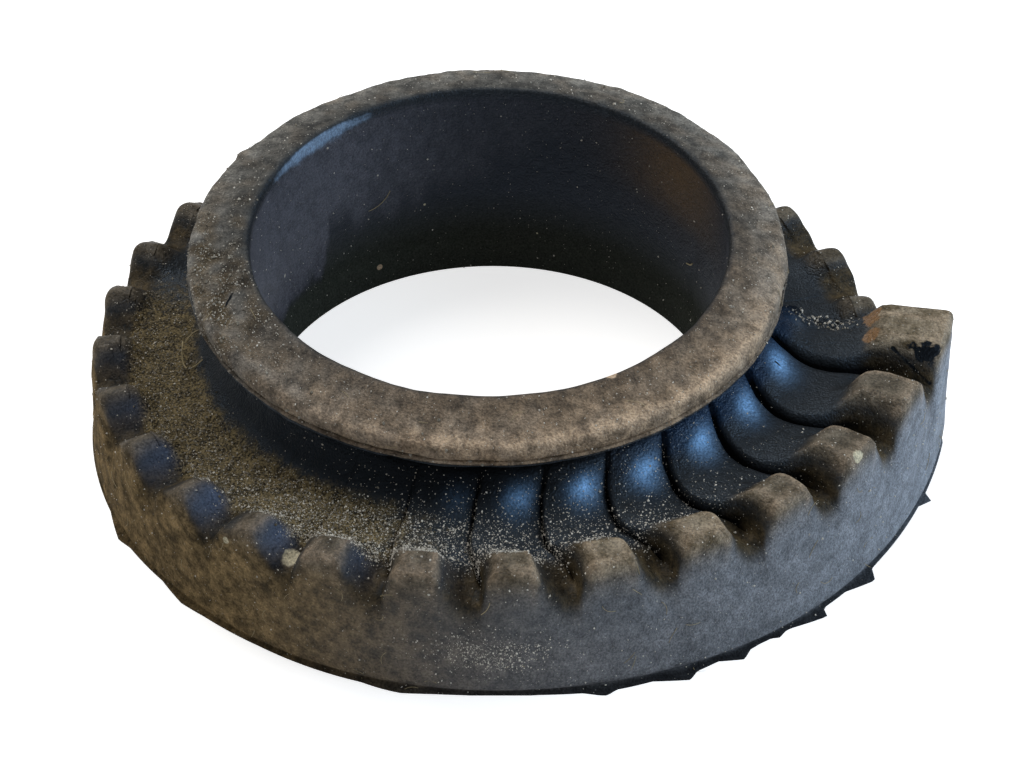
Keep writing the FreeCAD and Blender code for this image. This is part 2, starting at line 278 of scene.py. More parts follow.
def buildRings():
    # Control rings from the bore's foot, over the lip, down the cove and channel and over the teeth to the
    # base: how many rows follow each ring, its radius and height, and its zone, which names the place.
    m = mould
    bore, neck, lip, cove = m["boreRadius"], m["neckRadius"], m["lipRadius"], m["coveTop"]
    rings = []

    for rows, radius, height in (
            (1, bore + 0.3, 0.0), (1, bore, 0.4), (1, bore, 4.5), (1, bore, 6.4), (2, bore + 0.6, 7.2),
            (1, bore + 0.05, 8.2), (1, bore + 0.2, 12.0), (1, bore + 0.2, 16.0), (1, bore, 21.0),
            (1, bore, 26.0), (1, bore, 32.0)):
        rings.append((rows, boreRing(radius, height, height / 40.0)))
    for rows, radius, up, zone in (
            (1, bore, 0.5, 0.9), (2, bore, 3.0, 1.0), (2, bore + 0.2, 4.45, 1.1), (2, bore + 1.3, 4.75, 1.2),
            (2, bore + 3.1, 4.1, 1.4), (3, lip - 5.2, 3.45, 1.6), (4, lip - 2.6, 2.8, 1.8),
            (3, lip - 0.8, 2.35, 2.0), (2, lip, 1.3, 2.2), (2, lip + 0.1, 0.1, 2.3),
            (2, lip + 0.1, -0.75, 2.4), (2, lip - 1.0, -1.05, 2.5), (2, lip + 0.8, -1.3, 2.6),
            (2, lip - 0.7, -1.7, 2.7), (2, lip + 0.4, -2.05, 2.75), (2, lip - 0.8, -2.7, 2.8),
            (2, neck + 3.1, -3.5, 3.0), (2, neck + 1.7, -4.3, 3.2)):
        rings.append((rows, collarRing(radius, up, zone)))

    def neckLow(at):
        # just above the cove's top, by a share of the gap under the lip
        gap = np.clip(at["under"] - at["coveTop"], 0.9, 4.0)
        return neck + 0.3, at["coveTop"] + 0.45 * gap

    def coveAt(radius, share, lifted):
        # share runs down the cove from its top; fingers stand out of it at right angles
        def shape(at):
            lift = lifted * fingerLift - (2.6 * lifted - 1.8) * m["slitDepth"] * slitShare
            return radius + 0.6 * lift, mix(at["coveTop"], at["coveLow"], share) - 0.2 + 0.7 * lift
        return shape

    def channelAt(radius, rise):
        # the channel's floor, less the slits and with the fingers' lift
        def shape(at):
            return radius, at["floor"] + rise + fingerLift - m["slitDepth"] * slitShare
        return shape

    def footOf(inward, tooth, valley, slit):
        # from the channel up the inner ends of the teeth, by the share tooth of their height, and along the
        # valleys between them, by the share valley of theirs
        def shape(at):
            low = mix(at["floor"] - 0.2 + 0.4 * fingerLift, at["wall"], valley)
            high = mix(at["floor"] + 0.4 + 0.6 * fingerLift, at["top"], tooth)
            height = mix(low, high, ridgeShare) - slit * m["slitDepth"] * slitShare
            return at["landEnd"] - inward, height
        return shape

    def topOf(inward, down, valleyInward, valleyDown):
        # over the teeth's outer edge, so far in from the corner and down from the top, wider where worn
        def shape(at):
            share = mix(ridgeShare, outerShare, min(1.0, 0.3 + 0.35 * down))
            worn = 1.0 + 0.8 * (1.0 - crisp)
            radius = at["corner"] - mix(valleyInward, inward * worn, share)
            fall = 0.35 * np.clip((place - m["crestPlace"]) / 0.4, 0.0, 1.0)
            return radius, mix(at["wall"] - valleyDown, at["top"] - down - fall, share)
        return shape

    def skirtAt(share):
        # up the skirt by a share of its height, leaning in by the draft and the taper
        def shape(at):
            height = mix(0.9, mix(at["wall"] - 3.2, at["top"] - 3.6, outerShare), share)
            out = footFlare(at) * (1.0 - share)
            return at["foot"] + out - at["taper"] * height / at["top"] - at["lean"] * height, height
        return shape

    def footFlare(at):
        # the skirt's foot spreads a little on the right front, as a bell round the circle
        return m["flareOut"] * around(np.degrees(at["azimuth"]), -48.0, 30.0)

    def bandAt(height, out, flash):
        # the narrow band at the foot, shallower on the left, and a share of the flash beyond it
        def shape(at):
            azimuth = (np.degrees(at["azimuth"]) + 180.0) % 360.0 - 180.0
            reach = np.interp(azimuth, flashEdge[:, 0], flashEdge[:, 1])
            reach = reach * (1.0 - around(azimuth, -90.0, 13.0))       # the front stays inside the box
            flare = footFlare(at)
            beyond = flash * np.maximum(reach - flare, 0.0)
            return at["foot"] + flare + (out * (1.0 - 0.8 * around(azimuth, 170.0, 80.0)) + beyond), height
        return shape

    for rows, bow, zone, shape in (
            (2, -0.4, 3.5, neckLow), (3, -1.0, 3.8, coveAt(cove - 0.5, 0.0, 0.7)),
            (3, -2.6, 4.1, coveAt(cove + 1.8, 0.6, 0.85)), (4, -4.2, 4.5, coveAt(cove + 4.2, 1.0, 1.0)),
            (4, -4.8, 4.8, channelAt(cove + 7.3, 0.3)), (4, -5.1, 5.0, channelAt(cove + 10.5, 0.0)),
            (4, -4.8, 5.2, channelAt(cove + 13.2, 0.1)),
            (3, -3.6, 5.5, footOf(2.9, 0.12, 0.06, 1.0)), (3, -2.2, 5.8, footOf(1.4, 0.42, 0.25, 1.0)),
            (3, -0.9, 6.0, footOf(0.0, 0.85, 0.55, 0.9)), (2, -0.2, 6.2, footOf(-1.3, 1.02, 0.85, 0.6)),
            (2, 0.0, 6.4, topOf(3.3, 0.0, 4.0, 0.0)), (3, 0.0, 6.5, topOf(1.1, 0.1, 2.2, 0.0)),
            (4, 0.0, 6.6, topOf(0.2, 0.9, 0.8, 0.6)), (3, 0.0, 6.8, topOf(0.0, 3.0, 0.2, 2.2)),
            (2, 0.0, 7.0, skirtAt(0.8)), (2, 0.0, 7.3, skirtAt(0.5)), (2, 0.0, 7.6, skirtAt(0.2)),
            (2, 0.0, 7.8, bandAt(1.1, -0.1, 0.0)), (2, 0.0, 7.9, bandAt(0.85, -0.9, 0.0)),
            (2, 0.0, 7.95, bandAt(0.5, -0.8, 0.1)), (2, 0.0, 8.0, bandAt(0.28, -0.1, 0.8)),
            (1, 0.0, 8.1, bandAt(0.0, 0.0, 1.0))):
        rings.append((rows, seatRing(bow, zone, shape)))
    return rings


def splineBasis(counts):
    # Quadratic B-spline along the rings: weights (1-f)^2/2, 1/2 + f - f^2 and f^2/2 of three rings in a
    # row, with the end rings doubled so that the surface starts and stops on them.
    rings = len(counts)
    places = np.concatenate([i + np.arange(n) / n for i, n in enumerate(counts)] + [[rings]])
    index = np.minimum(places.astype(int), rings - 1)
    f = places - index
    weights = np.zeros((len(places), rings))
    rows = np.arange(len(places))
    for shift, part in ((-1, 0.5 * (1 - f) ** 2), (0, 0.5 + f - f * f), (1, 0.5 * f * f)):
        np.add.at(weights, (rows, np.clip(index + shift, 0, rings - 1)), part)
    weights[0] = np.eye(rings)[0]
    weights[-1] = np.eye(rings)[-1]
    return weights


def surfaceNormals(points):
    # unit cross product of the two grid directions
    normal = np.cross(np.gradient(points, axis=0), np.gradient(points, axis=1))
    return normal / (np.linalg.norm(normal, axis=-1, keepdims=True) + 1e-12)


def rough(points, layer):
    # height times the ripple of one layer of unevenness
    wave, height, seed = unevenness[layer]
    return height * ripple(points, wave, seed)


def mouldGrid():
    # the rings weighted by the spline, then moved along the surface's normal by the unevenness
    rings = buildRings()
    basis = splineBasis([rows for rows, ring in rings])
    data = np.einsum("rk,knc->rnc", basis, np.stack([ring for rows, ring in rings]))
    points, turned, zone = data[..., :3], data[..., 3], data[..., 4]
    normal = surfaceNormals(points)
    if (normal * points * [1.0, 1.0, 0.0])[zone > 7.2].sum() < 0:
        normal = -normal
    azimuth = azimuthOf(points)
    channel = between(zone, 4.3, 4.8, 5.6, 6.1)
    flange = between(zone, 1.1, 1.4, 2.0, 2.3)
    # unevenness of worn rubber, pinned at the base
    pin = smooth(points[..., 2], 1.6, 4.0) * smooth(zone, 0.9, 1.3)
    shift = (rough(points, "swell") + rough(points, "dents") - 0.06) * pin
    # caked dust lies in crumbs on the left of the channel, and the lip is flaked above it
    crumbs = np.clip(rough(points, "crumbs") - 0.7, 0.0, 1.2)
    shift += channel * around(azimuth, 205.0, 38.0) * (0.30 * crumbs + rough(points, "dust"))
    flakes = np.clip(rough(points, "flakes"), -0.6, 0.8)
    shift += flange * (0.05 + 0.14 * around(azimuth, 198.0, 20.0)) * flakes
    # the edge of the step is torn where it crosses the channel
    torn = smooth(turned, 354.0, 359.5) * bump(zone, 4.75, 0.5)
    shift += torn * (rough(points, "tornCoarse") + rough(points, "tornFine") - 0.45)
    return insideBox(points + normal * shift[..., None]), turned, zone, normal


def stepColumns(values):
    # the face of the step: straight lines from the low section back to the high one
    count = mould["stepColumns"]
    share = np.arange(1, count + 1) / (count + 1)
    low = values[:, -1:]
    high = values[:, :1]
    if values.ndim == 3:
        share = share[:, None]
    return np.concatenate([values, low + (high - low) * share], axis=1)


def mouldFaces(rows, real, total):
    # quads of the grid, closed round the ring, plus the flat underside from the base edge to the bore edge
    faces = closedQuads(rows, total).tolist()
    i = np.arange(1, real - 1)
    last = (rows - 1) * total
    faces += np.stack([i, last + i, last + i + 1, i + 1], -1).tolist()
    # beside the step the underside takes in the foot of the step's face
    faces.append([0] + [last + k for k in range(real - 1, total)] + [last, last + 1, 1])
    return faces


def newPiece(name, points, faces, masks=None, soft=True):
    # an object at the origin from points in millimetres, with its masks as attributes; points within two
    # thousandths of a millimetre are merged
    mesh = bpy.data.meshes.new(name)
    mesh.from_pydata((np.asarray(points).reshape(-1, 3) * mm).tolist(), [], faces)
    for key, values in (masks or {}).items():
        attribute = mesh.attributes.new(key, "FLOAT", "POINT")
        attribute.data.foreach_set("value", np.asarray(values, np.float32).ravel())
    work = bmesh.new()
    work.from_mesh(mesh)
    bmesh.ops.remove_doubles(work, verts=work.verts, dist=2e-6)
    bmesh.ops.recalc_face_normals(work, faces=work.faces)
    work.to_mesh(mesh)
    work.free()
    mesh.polygons.foreach_set("use_smooth", [soft] * len(mesh.polygons))
    mesh.update()
    piece = bpy.data.objects.new(name, mesh)
    bpy.context.scene.collection.objects.link(piece)
    return piece


def mouldMasks(points, turned, zone):
    # Where each tone lies, from 0 to 1: products of smooth steps and bells of the azimuth, the height, the
    # place in the pitch and the zone, which counts from the bore's foot (0) over the lip (1 to 2.8), the
    # cove (4), the channel (5) and the teeth (6) to the base (8).
    azimuth = azimuthOf(points)
    small = 0.5 + 0.5 * np.clip(rough(points, "tone"), -1, 1)
    channel = between(zone, 4.4, 5.0, 5.6, 6.2)
    teeth = between(zone, 5.6, 6.1, 6.6, 7.0)
    flange = between(zone, 1.05, 1.25, 2.52, 2.76)
    skirt = smooth(zone, 6.5, 6.9)
    left = smooth(around(azimuth, 214.0, 54.0), 0.2, 0.8)
    side = (azimuth + 360.0) % 360.0
    height = points[..., 2]
    masks = {"flange": flange, "skirt": skirt}
    masks["warm"] = np.clip(around(azimuth, 290.0, 70.0) + 0.3 * (small - 0.5), 0, 1)
    rim = 0.8 * around(azimuth, 268.0, 40.0) + around(azimuth, 318.0, 24.0)
    masks["tan"] = flange * np.clip(bump(zone, 2.02, 0.17) * rim, 0, 1)
    masks["tops"] = teeth * smooth(ridgeShare, 0.55, 0.95)
    masks["bright"] = np.clip(around(azimuth, 292.0, 14.0) + 0.9 * around(azimuth, 350.0, 6.0) + 0.5, 0, 1)
    masks["valley"] = teeth * fade(ridgeShare, 0.3, 0.8)
    dusty = np.clip(left + 0.40 * between(side, 35.0, 75.0, 110.0, 140.0), 0, 1)
    masks["dust"] = smooth(zone, 4.2, 4.9) * dusty * (1.0 - 0.75 * masks["tops"]) * fade(zone, 5.7, 6.3)
    masks["brown"] = np.clip(skirt * smooth(around(azimuth, 205.0, 55.0), 0.1, 0.8), 0, 1)
    # painted bluish-grey sheen on the skirt, mostly on its right
    bloom = 0.3 * around(azimuth, 295.0, 28.0) + around(azimuth, 352.0, 44.0)
    masks["bloom"] = np.clip(skirt * bloom, 0, 1)
    heaps = 1.3 * around(azimuth, 254.0, 20.0) + 0.5 * around(azimuth, 288.0, 22.0) + 0.30 * left
    masks["grit"] = np.clip(
        channel * heaps + 0.35 * flange * around(azimuth, 198.0, 22.0) * small
        + 0.14 * flange + 0.9 * skirt * around(azimuth, 271.0, 6.0) * bump(height, 10.0, 3.5)
        + 0.07 * skirt + 0.10 * teeth + 0.05 * fade(zone, 0.95, 1.05)
        + 0.30 * between(zone, 3.6, 4.1, 4.4, 4.8) * around(azimuth, 275.0, 45.0), 0, 1)
    # painted shade: near-black in the cove under the lip, lifted from the right front's lower cove and
    # partly from the dusty left, in the slits, in a band at the skirt's foot and in a groove round the lip
    cove = between(zone, 2.78, 2.95, 4.1, 5.0)
    shadow = 1.0 - smooth(side, 262.0, 300.0) * smooth(zone, 3.2, 3.9) * fade(side, 340.0, 358.0)
    masks["soot"] = np.clip(
        cove * shadow * (1.0 - 0.9 * around(side, 205.0, 50.0) * smooth(zone, 3.3, 4.0))
        + 0.9 * smooth(zone, 7.88, 7.97) * (0.35 + 0.65 * around(azimuth, 300.0, 60.0))
        + 0.8 * bump(zone, 2.5, 0.03)
        + between(zone, 4.0, 4.2, 6.0, 6.4) * smooth(slitShare, 0.3, 0.8), 0, 1)
    # painted bluish highlight: the window lamp's reflection on the middle of each finger in the cove on the
    # right front
    finger = bump(place, 0.38, 0.21)
    window = between(side, 258.0, 292.0, 340.0, 352.0)
    masks["blue"] = np.clip(bump(zone, 4.42, 0.27) * finger * window, 0, 1)
    # painted shade under the lip on the right, near black with a bluish tint of the window lamp's reflection
    masks["deepBlue"] = between(zone, 2.8, 3.2, 4.2, 4.6) * smooth(side, 285.0, 315.0)
    # painted bluish sheen of the window lamp on the anticlockwise-facing flank of each tooth on the left
    masks["leftBlue"] = (teeth * around(azimuth, 226.0, 30.0) * bump(place, 0.30, 0.14)
                         * fade(zone, 6.3, 6.8))
    masks["inner"] = fade(zone, 0.95, 1.05)
    edge = np.interp(side, hazeEdge[:, 0], hazeEdge[:, 1])
    above = smooth(height + 1.5 * (small - 0.5) - edge, -1.2, 2.0)
    masks["haze"] = masks["inner"] * above * np.interp(side, hazeShare[:, 0], hazeShare[:, 1])
    masks["low"] = masks["inner"] * (1.0 - smooth(height, 6.0, 21.0))
    masks["rust"] = masks["inner"] * around(azimuth, 34.0, 17.0) * smooth(height, 22.0, 34.0)
    masks["rimEdge"] = smooth(zone, 1.3, 2.0)
    masks["leftFlange"] = flange * np.clip(around(azimuth, 195.0, 24.0) + 0.12, 0, 1) * small
    masks["lowSkirt"] = fade(height, 7.0, 15.0) * around(azimuth, 275.0, 40.0)
    masks["torn"] = smooth(turned, 354.5, 359.0) * bump(zone, 4.8, 0.6)
    edges = bump(place, 0.47, 0.035) + 0.7 * bump(place, 0.80, 0.05) + bump(zone, 6.52, 0.09)
    masks["worn"] = crisp * teeth * np.clip(smooth(ridgeShare, 0.6, 0.95) * edges, 0, 1)
    masks["patch"] = skirt * around(azimuth, 271.0, 7.0) * bump(height, 10.5, 3.4)
    masks["foot"] = bump(zone, 5.6, 0.36) * around(azimuth, 262.0, 32.0)
    # painted bluish highlight along the bore's top edge at the back left
    masks["lipBlue"] = bump(zone, 1.02, 0.10) * around(azimuth, 140.0, 24.0)
    return masks


def makeMould(points, masks):
    # the grid closed by the face of the step and the underside, which stands for the solid
    rows, real = points.shape[:2]
    closed = stepColumns(points)
    faces = mouldFaces(rows, real, closed.shape[1])
    tones = {key: stepColumns(values) for key, values in masks.items()}
    piece = newPiece("mouldedRubber", closed, faces, tones)
    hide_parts("rubber_mount")
    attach(piece, "root")
    return piece


# loose dirt on the rubber

dirt = {
    # kind: mask, count, least and most half size, least and most paleness, seed
    "sand": ("grit", 8500, 0.06, 0.25, 0.60, 1.0, 31),
    "footSand": ("foot", 1700, 0.07, 0.27, 0.50, 1.0, 32),
    "patchSand": ("patch", 520, 0.06, 0.22, 0.6, 1.0, 36),
    "tornGrit": ("torn", 240, 0.07, 0.42, 0.1, 1.0, 35),
    "crumbs": ("dust", 4200, 0.07, 0.34, 0.0, 0.32, 33),
    "flakes": ("leftFlange", 800, 0.10, 0.45, 0.1, 0.5, 34),
}
dirtTones = {
    "caked": (0.070, 0.056, 0.030, 1), "pale": (0.78, 0.74, 0.66, 1), "blotch": 0.7, "roughness": 0.85,
}


def scatter(points, normal, weight, count, draw):
    # random places on the grid: a cell is drawn by its area times the weight, then a place within it
    a, b, c, d = points[:-1, :-1], points[:-1, 1:], points[1:, :-1], points[1:, 1:]
    area = np.linalg.norm(np.cross(b - a, c - a), axis=-1) * weight[:-1, :-1]
    cell = draw.choice(area.size, size=count, p=area.ravel() / area.sum())
    u, v = draw.uniform(size=(2, count, 1))
    corner = [part.reshape(-1, 3)[cell] for part in (a, b, c, d)]
    spot = (corner[0] * (1 - u) + corner[1] * u) * (1 - v) + (corner[2] * (1 - u) + corner[3] * u) * v
    return spot, normal[:-1, :-1].reshape(-1, 3)[cell]


def grains(spot, out, half, draw):
    # octahedra: six corners at plus and minus a stretched half size along three random axes at right angles
    count = len(spot)
    first = draw.normal(size=(count, 3))
    first /= np.linalg.norm(first, axis=1)[:, None]
    second = np.cross(first, draw.normal(size=(count, 3)))
    second /= np.linalg.norm(second, axis=1)[:, None]
    axes = np.stack([first, second, np.cross(first, second)], axis=1) * draw.uniform(0.5, 1.2, (count, 3, 1))
    corners = np.concatenate([axes, -axes], axis=1) * half[:, None, None]
    upper = [(0, 1, 2), (1, 3, 2), (3, 4, 2), (4, 0, 2)]
    lower = [(1, 0, 5), (3, 1, 5), (4, 3, 5), (0, 4, 5)]
    faces = np.array(upper + lower)
    # each middle stands a quarter of its half size above the surface
    places = (spot + out * half[:, None] * 0.25)[:, None] + corners
    return places.reshape(-1, 3), (faces + 6 * np.arange(count)[:, None, None]).reshape(-1, 3)


def makeDirt(points, normal, masks):
    # grains of every kind in one mesh; half sizes go by the cube of an even draw, so small ones abound
    places, faces, pale, start = [], [], [], 0
    for mask, count, least, most, dark, light, seed in dirt.values():
        draw = np.random.default_rng(seed)
        spot, out = scatter(points, normal, masks[mask] ** 1.5, count, draw)
        half = least + (most - least) * draw.uniform(size=count) ** 3
        corners, sides = grains(spot, out, half, draw)
        places.append(corners)
        faces.append(sides + start)
        pale.append(np.repeat(draw.uniform(dark, light, count), 6))
        start += len(corners)
    places = insideBox(np.concatenate(places))
    tones = {"pale": np.concatenate(pale)}
    piece = newPiece("looseSand", places, np.concatenate(faces).tolist(), tones, soft=False)
    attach(piece, "root")
    return piece


straws = {
    # both ends, sideways bow and half thickness; the first ones lie flat in the channel
    "long": [
        ((-56.4, -9.0, 21.9), (-52.2, -14.3, 21.9), 3.6, 0.13),
        ((-56.0, -9.6, 22.0), (-50.2, -9.4, 22.3), -3.0, 0.10),
        ((38.9, 16.6, 20.6), (38.2, 21.0, 17.6), 0.3, 0.14),
        ((-0.9, -74.85, 18.0), (0.5, -74.8, 20.6), 0.3, 0.07),
        ((-10.7, -74.1, 16.5), (-7.5, -74.6, 16.3), 0.3, 0.07),
        ((-20.3, 38.2, 22.8), (-24.6, 35.6, 19.6), 0.8, 0.07),
    ],
    "inChannel": 2, "hairs": 90, "hairLength": 3.4, "hairHalf": 0.045, "hairBow": 0.7, "steps": 9,
    "sides": 5, "seed": 41,
    "dark": (0.22, 0.17, 0.08, 1), "light": (0.44, 0.37, 0.22, 1), "blotch": 1.5, "roughness": 0.6,
}


def makeStraws(points, normal, masks):
    # Tubes along parabolas: the way from end to end plus 4 s (1 - s) times a bow at right angles to the way
    # and to outward. Each tube is a circle of cosine and sine about its path, with flat ends.
    draw = np.random.default_rng(straws["seed"])
    spot, out = scatter(points, normal, masks["skirt"] + 0.5 * masks["flange"], straws["hairs"], draw)
    way = np.cross(out, draw.normal(size=spot.shape))
    reach = draw.uniform(0.25, 0.5, (len(spot), 1)) * straws["hairLength"]
    way *= reach / np.linalg.norm(way, axis=1)[:, None]
    given = np.array([(*a, *b, bow, half) for a, b, bow, half in straws["long"]])
    starts = np.concatenate([given[:, :3], spot - way + 0.06 * out])
    ends = np.concatenate([given[:, 3:6], spot + way + 0.06 * out])
    bows = np.concatenate([given[:, 6], draw.uniform(-straws["hairBow"], straws["hairBow"], len(spot))])
    halves = np.concatenate([given[:, 7], np.full(len(spot), straws["hairHalf"])])
    share = np.linspace(0.0, 1.0, straws["steps"])[None, :, None]
    along = ends - starts
    outward = np.stack([starts[:, 0], starts[:, 1], np.full(len(starts), 30.0)], axis=1)
    outward[straws["inChannel"]:len(given), 2] = 0.0        # level where a straw leans on a wall
    aside = np.cross(along, outward)
    aside /= np.linalg.norm(aside, axis=1)[:, None]
    bowed = (aside * bows[:, None])[:, None]
    path = starts[:, None] + share * along[:, None] + 4 * share * (1 - share) * bowed
    tangent = np.gradient(path, axis=1)
    first = np.cross(tangent, outward[:, None])
    first /= np.linalg.norm(first, axis=-1, keepdims=True)
    second = np.cross(first, tangent)
    second /= np.linalg.norm(second, axis=-1, keepdims=True)
    turn = 2.0 * math.pi * np.arange(straws["sides"]) / straws["sides"]
    ring = np.cos(turn)[:, None] * first[:, :, None] + np.sin(turn)[:, None] * second[:, :, None]
    places = path[:, :, None] + ring * halves[:, None, None, None]
    count, steps, sides = places.shape[:3]
    shift = steps * sides * np.arange(count)[:, None, None]
    caps = np.stack([np.arange(sides)[::-1], np.arange(sides) + (steps - 1) * sides])
    faces = (closedQuads(steps, sides) + shift).reshape(-1, 4).tolist()
    faces += (caps + shift).reshape(-1, sides).tolist()
    piece = newPiece("strawsAndHairs", insideBox(places.reshape(-1, 3)), faces)
    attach(piece, "root")
    return piece


# shader maths: a socket whose operators add Math nodes

class Wire:
    def __init__(self, paint, socket):
        self.paint = paint
        self.socket = socket

    def maths(self, operation, *values):
        sockets = {i: value for i, value in enumerate(values)}
        return self.paint.add("Math", {"operation": operation}, sockets)

    def __add__(self, other):
        return self.maths("ADD", self, other)

    def __radd__(self, other):
        return self.maths("ADD", other, self)

    def __sub__(self, other):
        return self.maths("SUBTRACT", self, other)

    def __rsub__(self, other):
        return self.maths("SUBTRACT", other, self)

    def __mul__(self, other):
        return self.maths("MULTIPLY", self, other)

    def __rmul__(self, other):
        return self.maths("MULTIPLY", other, self)

    def clamped(self):
        return self.paint.add("Clamp", {}, {"Value": self})


class Paint:
    # one material; add() makes a node from its type, its settings and the values or links of its sockets
    def __init__(self, name):
        self.material = bpy.data.materials.new(name)
        self.material.use_nodes = True
        self.tree = self.material.node_tree
        self.tree.nodes.clear()

    def add(self, kind, settings=None, sockets=None, output=0):
        node = self.tree.nodes.new("ShaderNode" + kind)
        for key, value in (settings or {}).items():
            setattr(node, key, value)
        for key, value in (sockets or {}).items():
            if isinstance(value, Wire):
                self.tree.links.new(value.socket, node.inputs[key])
            else:
                node.inputs[key].default_value = value
        return Wire(self, node.outputs[output]) if node.outputs else None

    def place(self):
        return self.add("TexCoord", output="Object")

    def mask(self, name):
        return self.add("Attribute", {"attribute_name": name}, output="Fac")

    def noise(self, size, detail=3.0, roughness=0.55):
        # size is the width of one blotch in millimetres
        sockets = {"Vector": self.place(), "Scale": 1.0 / (size * mm)}
        return self.add("TexNoise", {}, {**sockets, "Detail": detail, "Roughness": roughness})

    def step(self, value, low, high):
        # the smooth step as a node: 0 at low, 1 at high
        return self.add("MapRange", {"interpolation_type": "SMOOTHSTEP"},
                        {"Value": value, "From Min": low, "From Max": high})

    def blend(self, share, first, second):
        # the first colour at share 0, the second at share 1
        return self.add("Mix", {"data_type": "RGBA"}, {0: share, 6: first, 7: second}, 2)

    def tint(self, colour, amount):
        # colour times a grey
        settings = {"data_type": "RGBA", "blend_type": "MULTIPLY"}
        return self.add("Mix", settings, {0: 1.0, 6: colour, 7: amount}, 2)

    def near(self, spot, size, wobble=0.0):
        # 1 within size millimetres of a spot: distance over size, plus a wobble, against 1
        point = tuple(c * mm for c in spot)
        away = self.add("VectorMath", {"operation": "DISTANCE"}, {0: self.place(), 1: point}, "Value")
        return self.step(away * (1.0 / (size * mm)) + wobble, 1.0, 0.75)

    def crack(self, start, end, width, wobble):
        # 1 within width of a straight line from a to b: its distance from p is |p - a - t (b - a)|, where t
        # is (p - a).(b - a) / |b - a|^2, held between 0 and 1
        a, b = (np.array(spot) * mm for spot in (start, end))
        away = self.add("VectorMath", {"operation": "SUBTRACT"}, {0: self.place(), 1: tuple(a)})
        along = self.add("VectorMath", {"operation": "DOT_PRODUCT"}, {0: away, 1: tuple(b - a)}, "Value")
        t = (along * (1.0 / float((b - a) @ (b - a)))).clamped()
        foot = self.add("VectorMath", {"operation": "SCALE"}, {0: tuple(b - a), "Scale": t})
        off = self.add("VectorMath", {"operation": "DISTANCE"}, {0: away, 1: foot}, "Value")
        return self.step(off * (1.0 / (width * mm)) + wobble, 1.0, 0.5)

    def specks(self, size, share):
        # Voronoi cells of one size: 1 near the middle of a cell whose random value is below share
        sockets = {"Vector": self.place(), "Scale": 1.0 / (size * mm)}
        far = self.add("TexVoronoi", {}, sockets, "Distance")
        draw = self.add("SeparateColor", {}, {0: Wire(self, far.socket.node.outputs["Color"])})
        return self.step(0.30 - far, 0.0, 0.12) * self.step(share - draw, 0.0, 0.03)

    def shade(self, surface):
        self.add("OutputMaterial", {}, {"Surface": surface})
        return self.material


# colours of the rubber; the bluish ones other than the bore's are painted highlights, sheens and shade, and
# so is the darkest one
rubberTones = {
    "plain": (0.014, 0.015, 0.016, 1), "flange": (0.150, 0.144, 0.130, 1),
    "flangeWarm": (0.270, 0.200, 0.136, 1), "tan": (0.54, 0.40, 0.275, 1),
    "skirt": (0.068, 0.063, 0.058, 1), "skirtLow": (0.115, 0.104, 0.095, 1),
    "skirtSheenBlue": (0.225, 0.250, 0.290, 1), "skirtBrown": (0.300, 0.212, 0.104, 1),
    "brownDark": (0.070, 0.052, 0.028, 1), "dust": (0.150, 0.118, 0.062, 1),
    "dustDark": (0.022, 0.018, 0.011, 1), "valley": (0.095, 0.070, 0.036, 1),
    "top": (0.31, 0.26, 0.19, 1), "stain": (0.24, 0.135, 0.058, 1), "blue": (0.22, 0.44, 0.78, 1),
    "deepBlue": (0.010, 0.024, 0.055, 1), "soot": (0.0015, 0.0018, 0.0025, 1),
    "leftBlue": (0.075, 0.098, 0.155, 1), "bore": (0.011, 0.013, 0.019, 1),
    "boreHaze": (0.078, 0.080, 0.098, 1), "boreLow": (0.034, 0.038, 0.031, 1),
    "boreBrown": (0.110, 0.070, 0.036, 1), "grit": (0.50, 0.47, 0.41, 1),
    "cream": (0.55, 0.50, 0.36, 1), "lipHighlightBlue": (0.20, 0.29, 0.42, 1),
}
# blotches and specks in millimetres, the bump's depth in metres and its strength, and the gloss
rubberGrain = {
    "coarse": 9.0, "mottle": 4.5, "middle": 2.2, "fine": 0.40, "speck": 0.34,
    "bumpDepth": 0.0004, "bumpStrength": 0.8, "glossTint": (0.55, 0.75, 1.0, 1), "gloss": 0.4,
    "mattGloss": 0.06,
}
# spots on the rubber: place, width in millimetres and tone
rubberSpots = [
    ((-32.7, -62.4, 18.2), 1.9, "cream"), ((-43.6, -60.2, 20.4), 0.8, "cream"),
    ((62.1, -47.6, 27.9), 1.3, "cream"), ((-24.3, -53.3, 22.2), 0.9, "cream"),
    ((-23.0, 36.7, 4.9), 0.7, "tan"), ((68.6, -11.4, 29.6), 2.3, "stain"),
    ((68.2, -16.2, 29.2), 1.9, "stain"), ((77.5, -20.8, 28.9), 2.6, "soot"),
    ((-13.6, 41.1, 17.3), 0.35, "cream"), ((9.2, 42.3, 9.2), 0.35, "cream"),
    ((-39.8, 17.0, 17.4), 0.5, "grit"), ((20.6, -38.6, 38.6), 1.3, "tan"),
]
# cracks: both ends and half the width
rubberCracks = [
    ((54.3, -7.2, 30.1), (56.7, -11.7, 28.6), 0.35), ((50.6, -23.1, 28.5), (52.6, -24.6, 28.2), 0.3),
    ((71.9, -19.3, 28.6), (78.7, -22.5, 23.2), 0.5), ((-45.0, -17.0, 39.0), (-46.5, -21.0, 38.4), 0.3),
    ((56.3, -9.4, 29.0), (62.0, -8.8, 27.2), 0.4),
]


